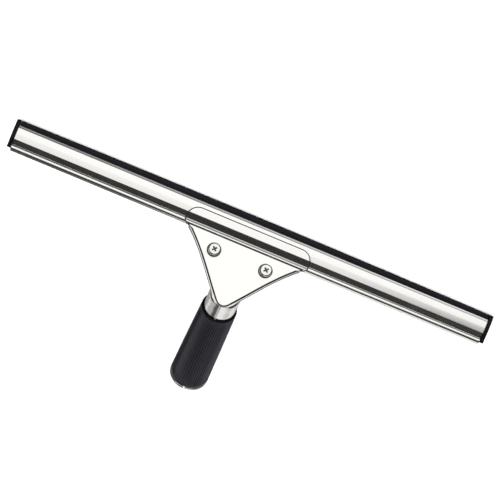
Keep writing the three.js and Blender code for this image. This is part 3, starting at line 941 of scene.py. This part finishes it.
def loft(rings):
    """A closed sheet through sections that run out along one side and back along the other."""
    count = len(rings[0])
    verts = [p for ring in rings for p in ring]
    faces = []
    for r in range(len(rings) - 1):
        for i in range(count):
            a, b = r * count + i, r * count + (i + 1) % count
            faces.append((a, b, b + count, a + count))
    last = (len(rings) - 1) * count
    for i in range(count // 2 - 1):
        j = count - 1 - i
        faces.append((i, j, j - 1, i + 1))
        faces.append((last + i, last + i + 1, last + j - 1, last + j))
    return verts, faces


def tube_station(z, radius, sheet):
    return (Vector((-radius, z)), Vector((radius, z)), radius, SEAM_HALF, radius, sheet)


TIP_REACH = 10


def opening_at(v):
    """Half the gap between the sheet's edges: the seam, then clear of the plate and its tip."""
    ahead = v + EDGE_GAP * min(1, max(0, 1 - (v - PLATE_TIP) / TIP_REACH))
    if ahead <= PLATE_TIP:
        return SEAM_HALF
    return max(fan_half(ahead) + EDGE_GAP, SEAM_HALF)


def back_corner():
    start = on_handle(0, -FRONT_LEVEL)
    return on_handle((TUBE_RADIUS - start.x) / ALONG.x, -FRONT_LEVEL)


BACK_BEND = [
    (TUBE_RADIUS, CROTCH_POINT.y - BEND_REACH),
    tuple(back_corner()),
    tuple(on_handle(BACK_STRAIGHT, -FRONT_LEVEL)),
]


def tray_station(v, w, back, back_radius):
    """A section of the open tray beside the clamp plate."""
    opening = opening_at(v)
    half = max(opening + FLANGE, TUBE_RADIUS)
    return (on_handle(v, w - FLANGE_DROP), back, half, opening, back_radius, SHEET)


def handle_stations():
    """Sections from the rolled hem up the tube, round the bend and along the tray."""
    rows = []
    for i in range(HEM_STEPS + 1):
        a = math.pi / 2 * i / HEM_STEPS
        pull = HEM_ROUND * (1 - math.sin(a))
        rows.append(tube_station(HEM_ROUND * (1 - math.cos(a)), HEM_RADIUS - pull, HEM_WALL - pull))
    for i in range(HEM_STEPS + 1):
        a = math.pi / 2 * i / HEM_STEPS
        pull = HEM_ROUND * (1 - math.cos(a))
        z = HEM_HEIGHT - HEM_ROUND + HEM_ROUND * math.sin(a)
        rows.append(tube_station(z, HEM_RADIUS - pull, HEM_WALL - pull))
    rows.append(tube_station(HEM_HEIGHT + 0.03, TUBE_END_RADIUS, TUBE_WALL))
    rows.append(tube_station(GRIP_TOP, TUBE_RADIUS, TUBE_WALL))
    rows.append(tube_station(CROTCH_POINT.y - BEND_REACH, TUBE_RADIUS, TUBE_WALL))
    for i in range(1, BEND_STEPS + 1):
        share = i / BEND_STEPS
        along = bezier(FRONT_BEND, 1 - share)
        back = bezier(BACK_BEND, share)
        radius = TUBE_RADIUS + (BEND_CORNER - TUBE_RADIUS) * share
        rows.append(tray_station(along.x, along.y, back, radius))
    start = CROTCH + PLATE_REACH
    for i in range(1, TRAY_STEPS + 1):
        share = i / TRAY_STEPS
        v = start + (JAW_FOOT - start) * share ** 0.8
        back_v = BACK_STRAIGHT + (JAW_FOOT - BACK_STRAIGHT) * share
        radius = BEND_CORNER + (FOOT_CORNER - BEND_CORNER) * share
        rows.append(tray_station(v, plate_level(v), on_handle(back_v, -FRONT_LEVEL), radius))
    return rows


def handle_body():
    """The bent sheet handle with the rear jaw joined on and clearance for the nuts."""
    verts, faces = loft([sheet_ring(s) for s in handle_stations()])
    obj = new_piece(
        "handle_pressing", verts, faces, HANDLE, HANDLE_STEEL, "handle",
        ["handle_body"], 40,
    )
    rows = [(v, jaw_half(v, REAR_FOOT), soft_jaw_level(v)) for v in jaw_heights()]
    for v in (2.0, 1.0, 0.0, -0.9):
        rows.append((v, jaw_half(max(v, JAW_FOOT), REAR_FOOT), FRONT_LEVEL))
    rows.append((REAR_JAW_ROOT, REAR_ROOT_HALF, FRONT_LEVEL))
    rows = [(v, half, (lambda x, level=level: level)) for v, half, level in rows]
    jaw, sides = sheet_grid(rows, 30, SHEET)
    jaw = [(x, v, -w) for x, v, w in jaw]
    cut(obj, scratch(jaw, sides, BLADE), "UNION", 40)
    for x in (-SCREW_X, SCREW_X):
        hole, sides = lathe([(0, -30), (NUT_CLEARANCE, -30), (NUT_CLEARANCE, -9), (0, -9)], 32)
        cut(obj, scratch(hole, sides, screw_place(x)), "DIFFERENCE", 40)
    return obj


handle_body()


# Grip
RIBS = 48
STEPS_PER_RIB = 8
PLAIN_FOOT = 4.2
PLAIN_TOP = 4
RIM_LOW = GRIP_TOP - 2.6
RIB_DEPTH = 0.9


def grip():
    """The ribbed sleeve: stations are (height, drawn in by, share of the ribs' depth)."""
    bottom = HEM_HEIGHT + GAP
    stations = [(bottom, 0.9, 0), (bottom + 0.25, 0.45, 0), (bottom + 0.8, 0.1, 0)]
    stations += [(bottom + 1.6, 0, 0), (bottom + 2.8, 0, 0), (bottom + PLAIN_FOOT, 0, 1)]
    ribbed_length = GRIP_TOP - PLAIN_TOP - bottom - PLAIN_FOOT
    stations += [(bottom + PLAIN_FOOT + ribbed_length * i / 10, 0, 1) for i in range(1, 11)]
    stations += [(RIM_LOW - 0.6, 0.3, 0.5), (RIM_LOW - 0.3, 0.4, 0.2)]
    stations += [(RIM_LOW, 0.4, 0)]
    around = RIBS * STEPS_PER_RIB
    verts, faces = [], []
    for z, pull, ribbed in stations:
        share = (z - bottom) / (GRIP_TOP - bottom)
        radius = GRIP_END_RADIUS + (GRIP_TOP_RADIUS - GRIP_END_RADIUS) * share - pull
        for i in range(around):
            phase = (i % STEPS_PER_RIB) / STEPS_PER_RIB
            crest = (0.5 - 0.5 * math.cos(2 * math.pi * phase)) ** 2.2
            r = radius - ribbed * RIB_DEPTH * (1 - crest)
            a = 2 * math.pi * i / around
            verts.append((r * math.sin(a), -r * math.cos(a), z))
    outer_rows = len(stations)
    inner = [(RIM_LOW, 0.1), (RIM_LOW - 0.4, 0), (bottom + 0.2, 0), (bottom, 0.2)]
    for z, flare in inner:
        share = (z - bottom) / (GRIP_TOP - bottom)
        r = TUBE_END_RADIUS + (TUBE_RADIUS - TUBE_END_RADIUS) * share + 0.12 + flare
        for i in range(around):
            a = 2 * math.pi * i / around
            verts.append((r * math.sin(a), -r * math.cos(a), z))
    rows = outer_rows + len(inner)
    for r in range(rows):
        for i in range(around):
            a, b = r * around + i, r * around + (i + 1) % around
            c, d = ((r + 1) % rows) * around + (i + 1) % around, ((r + 1) % rows) * around + i
            faces.append((a, b, c, d))
    return new_piece(
        "grip_ribbed_sleeve", verts, faces, HANDLE, GRIP_RUBBER, "handle",
        ["grip_sleeve"], 50,
    )


def grip_rim():
    """The smooth beaded rim at the mouth of the grip."""
    low, out = RIM_LOW + 0.05, GRIP_TOP_RADIUS
    section = [(TUBE_RADIUS + 0.35, low), (out - 0.4, low), (out + 0.02, low + 0.4)]
    section += [(out, GRIP_TOP - 0.7), (out - 0.5, GRIP_TOP), (TUBE_RADIUS + 0.25, GRIP_TOP)]
    verts, faces = lathe(fillet(section, 0.3, 3), 96)
    return new_piece(
        "grip_beaded_rim", verts, faces, HANDLE, RIM_RUBBER, "handle",
        ["grip_sleeve"], 50,
    )


grip()
grip_rim()


# Screws
PLAIN_WASHER = 1
LOCK_WASHER = 1.2
HEAD_RISE = PLAIN_WASHER + LOCK_WASHER + 0.4
HEAD_HEIGHT = 3.7
HEAD_RADIUS = 5
HEAD_ROUND = 1.35
SHANK_RADIUS = 2.2
SHANK_END = -16.5
WASHER_BORE = 2.75
PLAIN_RADIUS = 5.7
LOCK_RADIUS = 4.6


def recess(rise):
    """A cross recess that narrows towards its foot."""
    verts, faces = [], []
    for turn in (math.pi / 4, -math.pi / 4):
        base = len(verts)
        for z, half_length, half_width in ((rise + 0.5, 2.35, 0.7), (rise - 2.4, 1.7, 0.5)):
            for sx, sy in ((-1, -1), (1, -1), (1, 1), (-1, 1)):
                p = Vector((sx * half_length, sy * half_width, z))
                p.rotate(Matrix.Rotation(turn, 3, "Z"))
                verts.append(tuple(p))
        b = base
        faces += [(b, b + 1, b + 2, b + 3), (b + 7, b + 6, b + 5, b + 4)]
        faces += [(b + i, b + (i + 1) % 4, b + 4 + (i + 1) % 4, b + 4 + i) for i in range(4)]
        yield verts[base:], [tuple(i - base for i in f) for f in faces[-6:]]


def screw(side, name):
    place = screw_place(side * SCREW_X)
    top = HEAD_RISE + HEAD_HEIGHT
    shoulder = [
        (HEAD_RADIUS - HEAD_ROUND * (1 - math.cos(a)), top - HEAD_ROUND + HEAD_ROUND * math.sin(a))
        for a in (0, 0.2, 0.4, 0.6, 0.8, 1.0, 1.2, 1.4, math.pi / 2)
    ]
    profile = [(0, SHANK_END), (1.6, SHANK_END), (SHANK_RADIUS, SHANK_END + 0.8)]
    profile += [(SHANK_RADIUS, HEAD_RISE), (HEAD_RADIUS - 0.2, HEAD_RISE)]
    profile += [(HEAD_RADIUS, HEAD_RISE + 0.2)] + shoulder + [(0, top + 0.05)]
    verts, faces = lathe(profile, 48)
    obj = new_piece(
        "pan_head_screw_" + name, verts, faces, place, SCREW_STEEL, "screw_" + name,
        ["clamp_screw_" + name], 32,
    )
    for more, sides in recess(top):
        cut(obj, scratch(more, sides, place), "DIFFERENCE", 32)
    paint_recess_shade(obj, place, top)
    return obj


def paint_recess_shade(obj, place, top):
    """Paints shade into the cross recess: its faces get the dark steel."""
    obj.data.materials.append(DARK_STEEL_AND_PAINTED_SHADE)
    back = place.inverted()
    for face in obj.data.polygons:
        centre = back @ face.center / MM
        if centre.z > HEAD_RISE and centre.z < top - 0.1 and math.hypot(centre.x, centre.y) < 2.6:
            # painted shade: the recess faces take the dark steel
            face.material_index = 1


def ring_section(radius, low, height, corner, steps):
    """A washer's section, from its bore out to radius."""
    return fillet([
        (WASHER_BORE, low), (radius, low), (radius, low + height), (WASHER_BORE, low + height),
    ], corner, steps)


def washers(side, name):
    place = screw_place(side * SCREW_X)
    verts, faces = lathe(ring_section(PLAIN_RADIUS, 0.1, PLAIN_WASHER, 0.25, 3), 48)
    new_piece(
        "flat_washer_" + name, verts, faces, place, DARK_STEEL_AND_PAINTED_SHADE, "clamp",
        ["plain_washer_" + name], 32,
    )
    low = PLAIN_WASHER + 0.2
    verts, faces = lathe(ring_section(LOCK_RADIUS, low, LOCK_WASHER, 0.15, 2), 48)
    obj = new_piece(
        "spring_washer_" + name, verts, faces, place, DARK_STEEL_AND_PAINTED_SHADE, "clamp",
        ["lock_washer_" + name], 32,
    )
    slot = [(x, y + 0.5 * (z - low), z) for z in (low - 1, low + 2)
            for x, y in ((2, -0.4), (6, -0.4), (6, 0.4), (2, 0.4))]
    sides = [(0, 1, 2, 3), (7, 6, 5, 4)]
    sides += [(i, (i + 1) % 4, 4 + (i + 1) % 4, 4 + i) for i in range(4)]
    cut(obj, scratch(slot, sides, place), "DIFFERENCE", 32)


for side, name in ((-1, "left"), (1, "right")):
    screw(side, name)
    washers(side, name)


# CAD nodes that stay as they are
for name, node in frame["nodes"].items():
    if name.startswith(("clinch_nut", "rubber_clip")):
        node.data.materials.clear()
        node.data.materials.append(SCREW_STEEL)
